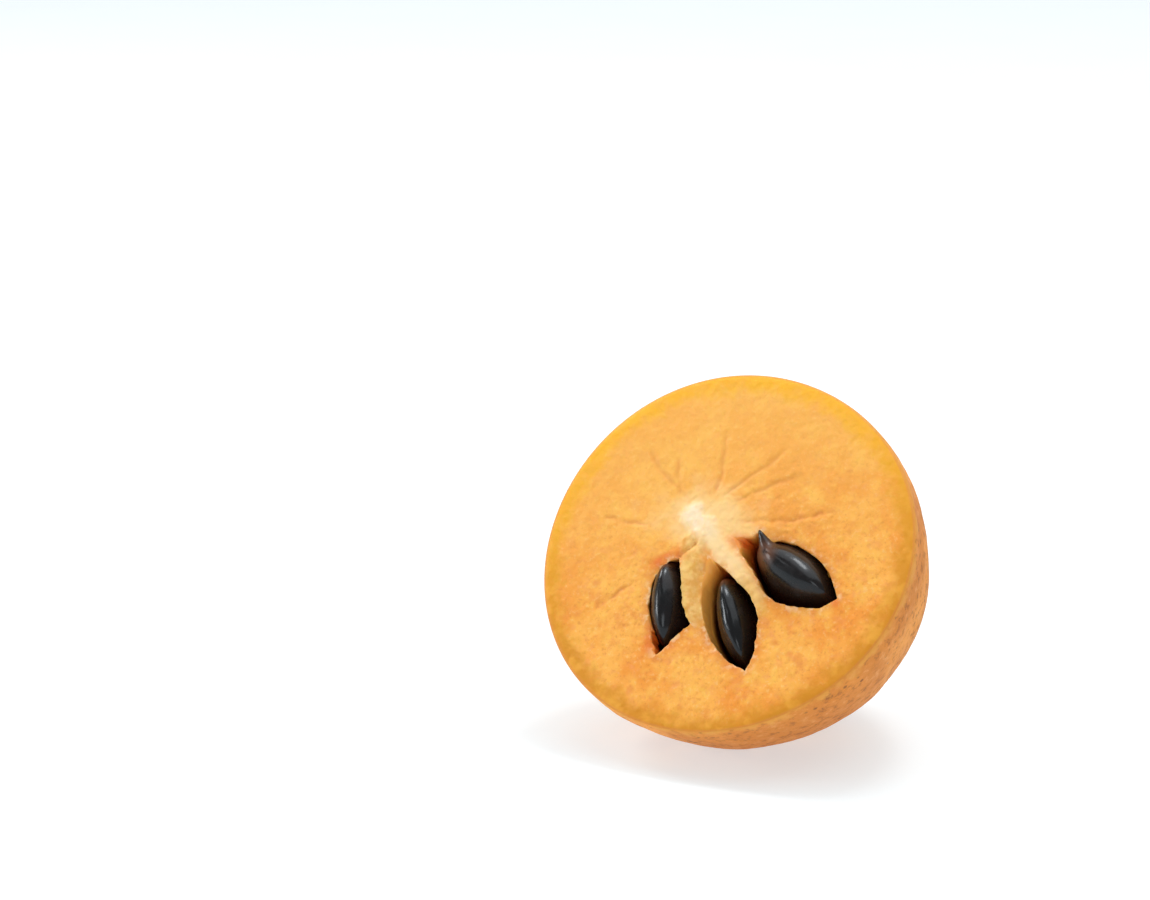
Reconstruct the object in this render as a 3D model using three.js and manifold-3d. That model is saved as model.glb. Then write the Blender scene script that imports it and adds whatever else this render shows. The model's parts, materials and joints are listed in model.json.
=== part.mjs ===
// Half of a sapodilla, cut across and lying on its skin with the cut face tipped up.
// Millimetres, +Z up. The origin is the middle of the small flat spot that the fruit rests on.
//
// The shapes are first laid out in the fruit's own axes: x runs to the right across the cut face,
// y runs up the cut face, and z comes straight out of it, so the blossom end is at -z.
import * as THREE from 'three';
import Module from 'manifold-3d';

const wasm = await Module();
wasm.setup();

// Driving dimensions of the fruit
const cutRadius = 29; // mean radius of the cut face
const halfLength = 36; // from the cut face to the blossom end
const ovality = 0.016; // the cut face is this much wider than it is tall, as a share of its radius
const threeSided = 0.008; // and it bulges this much over each of three sides
const faceRaise = 36; // degrees that the cut face looks above the horizon
const flatDepth = 0.95; // how much the rest spot takes off the round skin

// The dry scar that the flower left at the blossom end
const scarRadius = 1.4;
const scarHeight = 0.8;

// The seeds stand on end, with one keel towards the core and the other towards the skin.
// x, y: where the middle of a seed's upper end shows in the cut face. turn: the outer keel's
// direction in degrees. crown: how far the upper end stands out of the cut face.
const seeds = [
  { name: 'seed_left', x: -7.3, y: -9.3, turn: -76, width: 15.6, thickness: 7.8, crown: 1.7 },
  { name: 'seed_middle', x: 4.1, y: -10.3, turn: -61, width: 16.4, thickness: 7.4, crown: 1.4 },
  { name: 'seed_right', x: 11.6, y: -1.5, turn: -24, width: 16.4, thickness: 9.8, crown: 2.2 },
];
const seedLength = 21.5;
const seedLean = 3; // degrees that a seed's lower end leans in towards the core
const seedBluntness = 3.8; // 2 gives round ends, and more gives blunter ones
const keelSharpness = 0.7; // 0 gives an oval section, and 1 a lens with sharp edges
const seedGap = 0.4; // clearance over the broad sides of a seed
const keelGap = 0.8; // clearance past its keels

// Steps round and along the surfaces
const skinSides = 72;
const skinRings = 20;
const seedSides = 28;
const seedRings = 14;

// One closed surface through rings of points, lowest ring first, each running anticlockwise
// when it is seen from above.
function loft(rings) {
  const sides = rings[0].length;
  const positions = rings.flat().flatMap((point) => point.toArray());
  const triangles = [];
  for (let ring = 0; ring + 1 < rings.length; ring += 1) {
    for (let side = 0; side < sides; side += 1) {
      const next = (side + 1) % sides;
      const low = ring * sides;
      const high = low + sides;
      triangles.push(low + side, low + next, high + next);
      triangles.push(low + side, high + next, high + side);
    }
  }
  closeEnd(positions, triangles, rings[0], 0, false);
  closeEnd(positions, triangles, rings.at(-1), (rings.length - 1) * sides, true);
  const geometry = new THREE.BufferGeometry();
  geometry.setAttribute('position', new THREE.Float32BufferAttribute(positions, 3));
  geometry.setIndex(triangles);
  return geometry;
}

// A fan of triangles that closes an end ring about its middle.
function closeEnd(positions, triangles, ring, start, facesUp) {
  const middle = new THREE.Vector3();
  ring.forEach((point) => middle.add(point));
  middle.divideScalar(ring.length);
  const centre = positions.length / 3;
  positions.push(...middle.toArray());
  for (let side = 0; side < ring.length; side += 1) {
    const here = start + side;
    const next = start + ((side + 1) % ring.length);
    triangles.push(centre, facesUp ? here : next, facesUp ? next : here);
  }
}

function skinRing(radius, z) {
  const ring = [];
  for (let side = 0; side < skinSides; side += 1) {
    const angle = (2 * Math.PI * side) / skinSides;
    const uneven = 1 + ovality * Math.cos(2 * angle) + threeSided * Math.cos(3 * angle);
    const reach = radius * uneven;
    ring.push(new THREE.Vector3(reach * Math.cos(angle), reach * Math.sin(angle), z));
  }
  return ring;
}

// The half fruit before its pockets are opened: a half spheroid that ends in the flower's scar.
function wholeFlesh() {
  const rings = [skinRing(0.5 * scarRadius, -halfLength - scarHeight), skinRing(scarRadius, -halfLength)];
  const firstAngle = Math.asin((1.3 * scarRadius) / cutRadius);
  for (let step = 0; step <= skinRings; step += 1) {
    const angle = firstAngle + ((Math.PI / 2 - firstAngle) * step) / skinRings;
    rings.push(skinRing(cutRadius * Math.sin(angle), -halfLength * Math.cos(angle)));
  }
  return loft(rings);
}

// The outline across a seed, with its keels at angles 0 and 180 degrees.
function seedRing(width, thickness, z) {
  const ring = [];
  for (let side = 0; side < seedSides; side += 1) {
    const angle = (2 * Math.PI * side) / seedSides;
    const sharp = 1 - keelSharpness + keelSharpness * Math.abs(Math.sin(angle));
    const across = 0.5 * thickness * Math.sin(angle) * sharp;
    ring.push(new THREE.Vector3(0.5 * width * Math.cos(angle), across, z));
  }
  return ring;
}

// How much of its full section a seed has at a height, as a share of half its length.
function seedShare(height) {
  return (1 - Math.abs(height) ** seedBluntness) ** (1 / seedBluntness);
}

function seedShape(seed) {
  const rings = [];
  for (let step = 0; step <= seedRings; step += 1) {
    const height = -Math.cos((Math.PI * (step + 0.35)) / (seedRings + 0.7));
    const share = seedShare(height);
    rings.push(seedRing(seed.width * share, seed.thickness * share, (height * seedLength) / 2));
  }
  return loft(rings);
}

// The space a seed lies in: its own shape with clearance below its middle, and straight walls above.
function pocketShape(seed) {
  const rings = [];
  const grown = 1 + (2 * seedGap) / seedLength;
  for (let step = 0; step <= seedRings / 2; step += 1) {
    const height = -Math.cos((Math.PI * (step + 0.35)) / (seedRings + 0.7));
    const share = seedShare(height);
    const width = seed.width * share + 2 * keelGap;
    const thickness = seed.thickness * share + 2 * seedGap;
    rings.push(seedRing(width, thickness, (height * grown * seedLength) / 2));
  }
  const above = seedLength / 2 + 4;
  rings.push(seedRing(seed.width + 2 * keelGap, seed.thickness + 2 * seedGap, above));
  return loft(rings);
}

// Moves a shape that stands on its own middle to where a seed lies in the fruit.
function placeAsSeed(geometry, seed) {
  geometry.translate(0, 0, -seedLength / 2);
  geometry.rotateY(THREE.MathUtils.degToRad(seedLean));
  geometry.rotateZ(THREE.MathUtils.degToRad(seed.turn));
  geometry.translate(seed.x, seed.y, seed.crown);
  return geometry;
}

function toSolid(geometry) {
  const vertProperties = new Float32Array(geometry.getAttribute('position').array);
  const triVerts = new Uint32Array(geometry.getIndex().array);
  return new wasm.Manifold(new wasm.Mesh({ numProp: 3, vertProperties, triVerts }));
}

function toGeometry(solid) {
  const mesh = solid.getMesh();
  const geometry = new THREE.BufferGeometry();
  geometry.setAttribute('position', new THREE.Float32BufferAttribute(mesh.vertProperties, mesh.numProp));
  geometry.setIndex(Array.from(mesh.triVerts));
  return geometry;
}

// Turns a shape from the fruit's axes to how the fruit lies.
const tip = new THREE.Matrix4().makeRotationX(THREE.MathUtils.degToRad(90 - faceRaise));
const flesh = wholeFlesh().applyMatrix4(tip);
flesh.computeBoundingBox();
const lift = -flesh.boundingBox.min.z - flatDepth;

function lay(geometry) {
  return geometry.applyMatrix4(tip).translate(0, 0, lift);
}

// Everything under the surface that the fruit lies on.
function ground() {
  const corners = [[-1, -1], [1, -1], [1, 1], [-1, 1]];
  const square = (z) => corners.map(([x, y]) => new THREE.Vector3(x * 3 * cutRadius, y * 3 * cutRadius, z));
  return loft([square(-cutRadius), square(0)]);
}

function cutHalf() {
  let half = toSolid(flesh.translate(0, 0, lift)).subtract(toSolid(ground()));
  seeds.forEach((seed) => {
    half = half.subtract(toSolid(lay(placeAsSeed(pocketShape(seed), seed))));
  });
  return toGeometry(half);
}

// The middle of the flat spot, found from the points that lie on the ground.
function flatMiddle(geometry) {
  const flat = new THREE.Box3();
  const point = new THREE.Vector3();
  const positions = geometry.getAttribute('position');
  for (let index = 0; index < positions.count; index += 1) {
    point.fromBufferAttribute(positions, index);
    if (point.z < 0.001) flat.expandByPoint(point);
  }
  return flat.getCenter(new THREE.Vector3());
}

function piece(name, geometry, material) {
  geometry.computeVertexNormals();
  const mesh = new THREE.Mesh(geometry, material);
  mesh.name = name;
  return mesh;
}

const half = cutHalf();
const middle = flatMiddle(half);
const fleshFinish = new THREE.MeshStandardMaterial({ color: 0xf8b058, roughness: 0.55, metalness: 0 });

const group = new THREE.Group();
group.name = 'half_sapodilla';
group.position.set(-middle.x, -middle.y, 0);
group.add(piece('half_fruit', half, fleshFinish));
seeds.forEach((seed) => {
  const seedFinish = new THREE.MeshStandardMaterial({ color: 0x201815, roughness: 0.18, metalness: 0 });
  group.add(piece(seed.name, lay(placeAsSeed(seedShape(seed), seed)), seedFinish));
});

export default group;
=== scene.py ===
# %% [markdown]
# # Half a sapodilla, cut across
#
# A sapodilla is a brown-skinned tropical fruit with sweet, grainy, orange flesh and a few hard black
# seeds that stand round its core. This lesson builds one half of it, lying on its skin with the cut
# face tipped up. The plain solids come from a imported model, which settles sizes and places. Each of
# them is replaced here by a finer mesh in the same place, with a finish worked out by nodes.

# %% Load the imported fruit
import json
import math

import bpy
import numpy as np
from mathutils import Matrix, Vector, noise
from mathutils.geometry import delaunay_2d_cdt

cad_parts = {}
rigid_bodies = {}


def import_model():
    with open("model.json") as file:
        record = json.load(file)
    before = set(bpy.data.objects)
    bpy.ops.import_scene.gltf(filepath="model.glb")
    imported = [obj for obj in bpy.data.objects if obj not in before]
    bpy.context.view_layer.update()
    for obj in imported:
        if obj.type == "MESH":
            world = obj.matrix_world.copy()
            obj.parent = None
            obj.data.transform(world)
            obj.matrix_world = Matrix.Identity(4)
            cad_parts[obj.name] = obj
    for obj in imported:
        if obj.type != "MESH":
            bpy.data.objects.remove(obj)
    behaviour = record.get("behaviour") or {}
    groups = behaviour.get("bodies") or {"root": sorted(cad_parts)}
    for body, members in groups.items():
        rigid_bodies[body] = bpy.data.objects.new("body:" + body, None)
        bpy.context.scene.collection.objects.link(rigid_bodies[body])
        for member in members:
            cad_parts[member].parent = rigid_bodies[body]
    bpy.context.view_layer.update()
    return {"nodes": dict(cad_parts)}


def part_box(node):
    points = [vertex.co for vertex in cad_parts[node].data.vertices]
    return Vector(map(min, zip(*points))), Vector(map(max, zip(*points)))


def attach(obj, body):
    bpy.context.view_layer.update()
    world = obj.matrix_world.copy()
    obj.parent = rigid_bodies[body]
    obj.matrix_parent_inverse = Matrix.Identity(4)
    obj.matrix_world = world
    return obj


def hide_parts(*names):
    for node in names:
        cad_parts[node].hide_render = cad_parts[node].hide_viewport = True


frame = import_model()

print("pieces in the packed model:", sorted(frame["nodes"]))

# %% [markdown]
# ## The fruit's own axes
#
# Every shape below is laid out in the fruit's own axes, in millimetres: x to the right across the cut
# face, y up the face, and z straight out of it. One function then turns those points to how the fruit
# lies and changes them to metres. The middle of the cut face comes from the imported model's box, which
# touches the cut edge on its left, at its foot and at its top.

# %% Turn the fruit's axes to how it lies
MM = 0.001
CUT_RADIUS = 29.0  # mean radius of the cut face
OVALITY = 0.016  # the face is wider than it is tall, by this share of its radius
THREE_SIDED = 0.008  # and it bulges by this share over each of three sides
HALF_LENGTH = 36.0  # from the cut face to the blossom end
FACE_RAISE = math.radians(36)  # how far the cut face looks above the horizon


def cut_edge(angle):
    """Radius of the cut edge in a direction across the face."""
    return CUT_RADIUS * (1 + OVALITY * np.cos(2 * angle) + THREE_SIDED * np.cos(3 * angle))


low, high = (np.array(corner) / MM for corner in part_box("half_fruit"))
face_middle = np.array([
    low[0] + cut_edge(math.pi),
    low[1] + cut_edge(-math.pi / 2) * math.sin(FACE_RAISE),
    high[2] - cut_edge(math.pi / 2) * math.cos(FACE_RAISE),
])
fruit_axes = np.array([
    [1, 0, 0],
    [0, math.sin(FACE_RAISE), math.cos(FACE_RAISE)],
    [0, -math.cos(FACE_RAISE), math.sin(FACE_RAISE)],
])


def lay(points):
    """Points in the fruit's axes, in millimetres, to where they lie, in metres."""
    return (face_middle + np.asarray(points) @ fruit_axes) * MM


def stand_up(points):
    """The way back: from metres where the fruit lies to millimetres in the fruit's axes."""
    return (np.asarray(points) / MM - face_middle) @ fruit_axes.T


print("middle of the cut face, mm:", face_middle.round(2))

# %% [markdown]
# ## Small tools: noise and joined-up outlines
#
# Fruit is never quite even, so most shapes take a little smooth noise. Blender's noise functions give
# the same values on every run. The cut leaves the pockets with outlines both round and sharp: a few
# given points describe each, and a smooth curve joins them, broken only at a corner.

# %% Noise and outline helpers
CURVE_PARTS = 24  # how finely a curve is followed between two of its knots


def bumps(points, size, octaves=3, seed=0.0):
    """Smooth noise from about -1 to 1 at each point, with features of that size in millimetres."""
    shift = Vector((seed, 2.7 * seed, -1.9 * seed))
    scaled = np.asarray(points, float) / size
    return np.array([
        noise.fractal(Vector(point) + shift, 1.0, 2.1, octaves, noise_basis="PERLIN_ORIGINAL")
        for point in scaled
    ])


def smooth_step(value, start, end):
    """0 before start, 1 after end, and a smooth rise between them."""
    share = np.clip((value - start) / (end - start), 0, 1)
    return share * share * (3 - 2 * share)


def flat_points(xy):
    """Gives points of the cut face a height of 0."""
    return np.column_stack([xy, np.zeros(len(xy))])


def curve_through(knots, step):
    """A closed curve through (x, y, kind) knots, as evenly spaced points. A corner is a sharp turn."""
    places = np.array([knot[:2] for knot in knots], float)
    before, after = np.roll(places, 1, axis=0), np.roll(places, -1, axis=0)
    dense = []
    for index, (x, y, kind) in enumerate(knots):
        following = (index + 1) % len(knots)
        start, end = places[index], places[following]
        leave = end - start if kind == "corner" else (after[index] - before[index]) / 2
        arrive = end - start if knots[following][2] == "corner" else (after[following] - start) / 2
        for t in np.linspace(0, 1, CURVE_PARTS, endpoint=False):
            rise = t * t * (3 - 2 * t)
            dense.append(
                start * (1 - rise) + end * rise
                + leave * (t * (1 - t) ** 2) - arrive * (t * t * (1 - t))
            )
    dense = np.array(dense + [dense[0]])
    along = np.r_[0, np.cumsum(np.linalg.norm(np.diff(dense, axis=0), axis=1))]
    count = int(along[-1] / step)
    wanted = np.linspace(0, along[-1], count, endpoint=False)
    return np.column_stack([np.interp(wanted, along, dense[:, axis]) for axis in range(2)])


def distance_to_path(xy, path):
    """Each point's distance from a path of straight stretches, and how far along it that is, 0 to 1."""
    path = np.array(path, float)
    lengths = np.linalg.norm(np.diff(path, axis=0), axis=1)
    best = np.full(len(xy), np.inf)
    along = np.zeros(len(xy))
    for index, length in enumerate(lengths):
        start = path[index]
        step = path[index + 1] - start
        share = np.clip((xy - start) @ step / length**2, 0, 1)
        away = np.linalg.norm(xy - start - share[:, None] * step, axis=1)
        nearer = away < best
        best[nearer] = away[nearer]
        along[nearer] = (lengths[:index].sum() + share[nearer] * length) / lengths.sum()
    return best, along


def inside(xy, outline):
    """Which points lie inside a closed outline: an odd number of its sides passes to their right."""
    hits = np.zeros(len(xy), bool)
    x, y = xy[:, 0], xy[:, 1]
    for (x0, y0), (x1, y1) in zip(outline, np.roll(outline, -1, axis=0)):
        if y0 == y1:
            continue
        spans = (y0 > y) != (y1 > y)
        hits ^= spans & (x < (x1 - x0) * (y - y0) / (y1 - y0) + x0)
    return hits


print("noise sample:", bumps([(1, 2, 3)], 4.0).round(3))

# %% [markdown]
# ## The seeds' shape
#
# A sapodilla seed is a hard, flattened almond, about 2 cm long, that stands on end beside the core.
# Its outer keel is sharp and its inner keel, where it was attached, is blunter. Seen from the cut, one
# looks down on its upper end. The section is an oval whose keels are pinched, less so towards the ends,
# and rings of it shrink like the shoulders of a round bottle. The same function also hollows out the
# pocket, so that the two always fit. A seed has axes of its own: x across its width, y through its
# thickness, and z along it towards the cut.

# %% Describe the seeds
SEED_LENGTH = 21.5
SEED_LEAN = math.radians(3)  # how far the seeds lean in the fruit
BLUNT_WIDE = 2.9  # how square the shoulders are along the seed's width
BLUNT_THICK = 1.95  # and across its thickness, where they are rounder
OUTER_KEEL = 0.72  # how sharply the section is pinched at the outer keel, 0 to 1
INNER_KEEL = 0.5  # and at the inner one
ROUNDED_END = 0.8  # how much of the pinch is lost at the seed's ends

SEEDS = {  # turn in degrees, size in mm, and the brown patch of the joint: x, y and reach
    "seed_left": {"turn": -76, "width": 15.6, "thickness": 7.8, "scar": (-7.2, 0.0, 2.4)},
    "seed_middle": {"turn": -61, "width": 16.4, "thickness": 7.4, "scar": (-7.4, 0.0, 2.6)},
    "seed_right": {"turn": -24, "width": 16.4, "thickness": 9.8, "scar": (-4.8, -0.6, 3.0)},
}
for name, seed in SEEDS.items():
    corners = np.array([corner[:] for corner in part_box(name)])
    seed["middle"] = stand_up(corners.mean(axis=0))
    turn = math.radians(seed["turn"])
    spin = np.array([
        [math.cos(turn), math.sin(turn), 0],
        [-math.sin(turn), math.cos(turn), 0],
        [0, 0, 1],
    ])
    lean = np.array([
        [math.cos(SEED_LEAN), 0, -math.sin(SEED_LEAN)],
        [0, 1, 0],
        [math.sin(SEED_LEAN), 0, math.cos(SEED_LEAN)],
    ])
    seed["axes"] = lean @ spin
    print(name, "has its middle at", seed["middle"].round(2), "mm in the fruit's axes")


def seed_to_fruit(seed, points):
    """From a seed's own axes, about its middle, to the fruit's axes."""
    return seed["middle"] + np.asarray(points) @ seed["axes"]


def fruit_to_seed(seed, points):
    """The way back."""
    return (np.asarray(points) - seed["middle"]) @ seed["axes"].T


def pinch(angle, height):
    """How much of an oval's thickness is left near the keels."""
    keel = np.where(np.cos(angle) > 0, OUTER_KEEL, INNER_KEEL)
    keel = keel * (1 - ROUNDED_END * np.abs(height) ** 2)
    return 1 - keel + keel * np.abs(np.sin(angle))


def seed_section(seed, angle, height, gap=0.0):
    """A point on the seed's skin, or gap outside it: angle round the section, height from -1 to 1."""
    wide = 0.5 * seed["width"] * (1 - np.abs(height) ** BLUNT_WIDE) ** (1 / BLUNT_WIDE) + 2 * gap
    thick = 0.5 * seed["thickness"] * (1 - np.abs(height) ** BLUNT_THICK) ** (1 / BLUNT_THICK)
    x = wide * np.cos(angle)
    y = (thick * pinch(angle, height) + gap) * np.sin(angle)
    z = np.broadcast_to(height * SEED_LENGTH / 2, np.shape(x))
    return np.column_stack([x, y, z])


# %% [markdown]
# ## The mouths of the pockets
#
# The knife opened three pockets, and each mouth has its own shape. The left one is a leaf with a torn
# notch, where a flap of flesh stands beside it. The middle one has a long soft slope on its left,
# where the same flap rolls down to the seed. The right one starts in a narrow corner beside the core's
# arm and has a nick for the seed's hook. Smooth noise makes the torn stretches ragged.

# %% Draw the mouths
OUTLINE_STEP = 0.22  # mm between the points of a finished outline
TEAR_SIZE = 1.2
MOUTHS = {
    "seed_left": [
        (-6.9, -2.2, "corner"), (-8.4, -3.0, ""), (-9.6, -4.9, ""), (-10.0, -7.4, ""),
        (-9.6, -10.2, ""), (-8.3, -13.6, ""), (-6.1, -17.8, "corner"), (-4.7, -15.8, ""),
        (-3.6, -13.8, ""), (-1.9, -12.3, "corner"), (-3.0, -11.0, ""), (-4.2, -8.9, ""),
        (-5.0, -7.1, ""), (-5.7, -5.0, ""), (-6.4, -3.5, ""),
    ],
    "seed_middle": [
        (-2.4, -1.3, "corner"), (-2.4, -4.0, ""), (-1.7, -8.0, ""), (-0.1, -11.7, ""),
        (2.3, -14.6, ""), (5.2, -16.7, ""), (8.7, -18.0, "corner"), (9.1, -14.6, ""),
        (8.6, -10.8, ""), (7.6, -8.2, ""), (5.6, -6.0, ""), (3.3, -4.4, ""), (0.6, -2.7, ""),
    ],
    "seed_right": [
        (0.5, 2.3, "corner"), (2.4, 0.1, ""), (4.8, -2.0, ""), (6.6, -3.9, ""), (8.2, -5.6, ""),
        (10.4, -6.7, ""), (13.6, -7.0, ""), (17.3, -6.6, ""), (19.7, -4.8, "corner"),
        (18.3, -2.4, ""), (16.2, -0.1, ""), (13.6, 1.5, ""), (10.9, 2.5, ""), (8.3, 2.6, ""),
        (6.4, 2.1, ""), (4.7, 3.7, "corner"), (3.7, 2.6, ""),
    ],
}
RAGGED = {"seed_left": 0.27, "seed_middle": 0.17, "seed_right": 0.15}  # mm that the tears stray


def roughen(outline, amount, seed):
    """Moves an outline's points across its own direction by smooth noise."""
    forward = np.roll(outline, -1, axis=0) - np.roll(outline, 1, axis=0)
    across = np.column_stack([forward[:, 1], -forward[:, 0]])
    across /= np.linalg.norm(across, axis=1)[:, None]
    return outline + across * (amount * bumps(flat_points(outline), TEAR_SIZE, 3, seed))[:, None]


mouths = {}
for order, (name, knots) in enumerate(MOUTHS.items()):
    mouths[name] = roughen(curve_through(knots, OUTLINE_STEP), RAGGED[name], 5.0 + order)
    print(name, "mouth has", len(mouths[name]), "points")

# %% [markdown]
# ## The relief of the cut face
#
# A knife leaves soft, grainy flesh nearly flat. What stands out is small: the pale core with its long
# arm between the seeds, the flap between the left and middle pockets, thin veins that run out from the
# core, and grain everywhere. All of it can be one height field, a function that gives each point of the
# face its height. That is simpler to build and to change than sculpting.

# %% Heights on the cut face
CORE, CORE_REACH = (-6.4, 4.8), (2.5, 1.5)
HALO, HALO_REACH = (-4.2, 4.6), (9.0, 5.8)
ARM = [(-6.6, 4.9), (-4.4, 3.3), (-1.4, 0.7), (1.8, -1.8), (5.0, -4.3), (7.6, -6.4)]
ARM_WIDTH = 1.35  # this and the next two are half widths
FLAP_WIDTH, RIDGE_WIDTH, VEIN_WIDTH = 1.9, 1.2, 0.37
CORE_RISE, FLAP_RISE, VEIN_DEPTH = 0.45, 0.35, 0.16
ROLL_DEPTH, ROLL_WIDTH = 0.7, 1.1  # where the flap rolls down to the middle seed
CREASE_DEPTH, CREASE_WIDTH = 0.45, 0.4  # the tear above the flap
FLAP = [(-5.4, 0.6), (-4.9, -2.2), (-3.9, -6.6), (-2.6, -10.2), (-1.2, -13.0)]
RIDGE = [(4.4, -4.6), (7.0, -6.8), (9.0, -9.6)]
VEINS = [
    [(-21.5, 2.3), (-13.2, 2.3)],
    [(-0.5, 4.6), (8.8, 6.1), (17.0, 8.9)],
    [(-3.2, 8.0), (1.2, 12.4), (6.0, 18.2)],
    [(-4.6, 8.0), (-3.9, 11.5), (-5.2, 19.0)],
    [(-8.0, 7.0), (-14.6, 11.6), (-17.5, 15.0)],
    [(-18.5, -11.8), (-12.4, -7.0)],
    [(-1.0, 7.6), (5.4, 12.0), (9.5, 13.6)],
    [(-9.6, 7.2), (-12.0, 14.0)],
]
ROLL = [(-3.0, -3.6), (-2.3, -8.0), (-0.6, -11.8), (2.0, -14.6)]
CREASE = [(-6.9, -1.8), (-5.9, -0.8), (-5.0, 0.4)]


def core_share(xy):
    """How much a point belongs to the pale core and its arm, 0 to 1."""
    wobble = 1 + 0.35 * bumps(flat_points(xy), 1.9, 3, 11.0)
    away, along = distance_to_path(xy, ARM)
    width = ARM_WIDTH * (1.35 - 0.5 * along) * wobble
    share = (1 - smooth_step(away / width, 0.35, 1.5)) * (1 - 0.45 * smooth_step(along, 0.7, 1.0))
    knob = np.linalg.norm((xy - CORE) / CORE_REACH, axis=1) / wobble
    return np.maximum(share, 1 - smooth_step(knob, 0.25, 1.25))


def halo_share(xy):
    """The paler flesh round the core, fading outwards, 0 to 1."""
    spread = 1 + 0.4 * bumps(flat_points(xy), 3.0, 3, 12.0)
    near = np.linalg.norm((xy - HALO) / HALO_REACH, axis=1) / spread
    return 1 - smooth_step(near, 0.2, 1.3)


def flap_share(xy):
    """How much a point lies on the flap beside the left pocket, or on the ridge between the others."""
    wobble = 1 + 0.3 * bumps(flat_points(xy), 1.6, 3, 13.0)
    share = np.zeros(len(xy))
    for path, half_width, strength in ((FLAP, FLAP_WIDTH, 1.0), (RIDGE, RIDGE_WIDTH, 0.7)):
        away, along = distance_to_path(xy, path)
        fade = strength * (1 - smooth_step(along, 0.8, 1.0))
        share = np.maximum(share, fade * (1 - smooth_step(away / (half_width * wobble), 0.5, 1.3)))
    return share


def vein_share(xy):
    """How much a point lies in one of the thin veins, fading towards their outer ends."""
    share = np.zeros(len(xy))
    bend = 0.35 * bumps(flat_points(xy), 3.0, 2, 23.0)
    for path in VEINS:
        away, along = distance_to_path(xy + np.column_stack([bend, -bend]), path)
        fade = smooth_step(along, 0.0, 0.15) * (1 - smooth_step(along, 0.8, 1.0))
        share = np.maximum(share, np.exp(-((away / VEIN_WIDTH) ** 2)) * fade)
    return share


def face_height(xy):
    """Height of the cut surface above its plane, in millimetres."""
    points = flat_points(xy)
    angle = np.arctan2(xy[:, 1], xy[:, 0])
    to_edge = cut_edge(angle) - np.hypot(xy[:, 0], xy[:, 1])
    height = 0.16 * bumps(points, 11.0, 2, 1.0)
    height += 0.075 * bumps(points, 1.5, 3, 2.0) + 0.05 * bumps(points, 0.6, 2, 3.0)
    flap = flap_share(xy)
    height += CORE_RISE * core_share(xy) + flap * (FLAP_RISE + 0.12 * bumps(points, 0.9, 3, 4.0))
    height -= VEIN_DEPTH * vein_share(xy)
    for path, depth, half_width in ((ROLL, ROLL_DEPTH, ROLL_WIDTH), (CREASE, CREASE_DEPTH, CREASE_WIDTH)):
        away, _ = distance_to_path(xy, path)
        height -= depth * np.exp(-((away / half_width) ** 2))
    return height * smooth_step(to_edge, -0.1, 1.2) - 0.12 * (1 - smooth_step(to_edge, 0.0, 0.7))


print("height at the core, mm:", face_height(np.array([CORE])).round(2))

# %% [markdown]
# ## The cut face as a mesh
#
# The face is a disc with three holes, and it wants even, small triangles, so that the grain shows
# alike everywhere. A constrained Delaunay triangulation takes the outer edge, the three mouths and a
# cloud of points, closest together round the seeds, and returns triangles that keep every given edge.
# Those that fall inside a mouth are dropped.

# %% Triangulate the cut face
RIM_COUNT = 430
FINE_STEP, COARSE_STEP = 0.2, 0.31
JITTER = 0.16
DETAIL, DETAIL_REACH = (3.0, -4.5), (20.0, 15.5)  # middle and half size of the finer part
rim_angles = np.linspace(0, 2 * math.pi, RIM_COUNT, endpoint=False)
rim = cut_edge(rim_angles)[:, None] * np.column_stack([np.cos(rim_angles), np.sin(rim_angles)])
random = np.random.RandomState(4)


def scatter(step, keep):
    """A jittered triangular lattice over the face, with only the points that keep() accepts."""
    span = CUT_RADIUS * 1.05
    rows = np.arange(-span, span, step * math.sqrt(3) / 2)
    columns = np.arange(-span, span, step)
    x, y = np.meshgrid(columns, rows)
    x = x + (np.arange(len(rows))[:, None] % 2) * step / 2
    xy = np.column_stack([x.ravel(), y.ravel()])
    xy += random.uniform(-JITTER, JITTER, xy.shape) * step
    return xy[keep(xy)]


def near_seeds(xy):
    """Which points lie in the finer part."""
    return np.linalg.norm((xy - DETAIL) / DETAIL_REACH, axis=1) < 1


def clear_of_edges(xy, margin):
    """Which points lie in the flesh, further than margin from its edges."""
    angle = np.arctan2(xy[:, 1], xy[:, 0])
    keep = cut_edge(angle) - np.hypot(xy[:, 0], xy[:, 1]) > margin
    for outline in mouths.values():
        closed = np.vstack([outline, outline[:1]])
        box_low, box_high = outline.min(axis=0) - margin, outline.max(axis=0) + margin
        close = keep & np.all((xy > box_low) & (xy < box_high), axis=1)
        away, _ = distance_to_path(xy[close], closed)
        keep[close] = (away > margin) & ~inside(xy[close], outline)
    return keep


fine = scatter(FINE_STEP, lambda xy: near_seeds(xy) & clear_of_edges(xy, 0.12))
coarse = scatter(COARSE_STEP, lambda xy: ~near_seeds(xy) & clear_of_edges(xy, 0.2))
loops = [rim] + [mouths[name] for name in SEEDS]
starts = np.cumsum([0] + [len(loop) for loop in loops])
edges = [
    (start + index, start + (index + 1) % len(loop))
    for start, loop in zip(starts, loops)
    for index in range(len(loop))
]
face_xy = np.vstack(loops + [fine, coarse])
found, _, triangles, *_ = delaunay_2d_cdt([Vector(point) for point in face_xy], edges, [], 0, 1e-7)
triangles = np.array(triangles)
assert len(found) == len(face_xy) and np.allclose([point[:] for point in found], face_xy, atol=1e-4)
centres = face_xy[triangles].mean(axis=1)
open_air = np.zeros(len(triangles), bool)
for outline in mouths.values():
    open_air |= inside(centres, outline)
face_triangles = triangles[~open_air]
face_points = np.column_stack([face_xy, face_height(face_xy)])
print("cut face:", len(face_points), "points and", len(face_triangles), "triangles")

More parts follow.
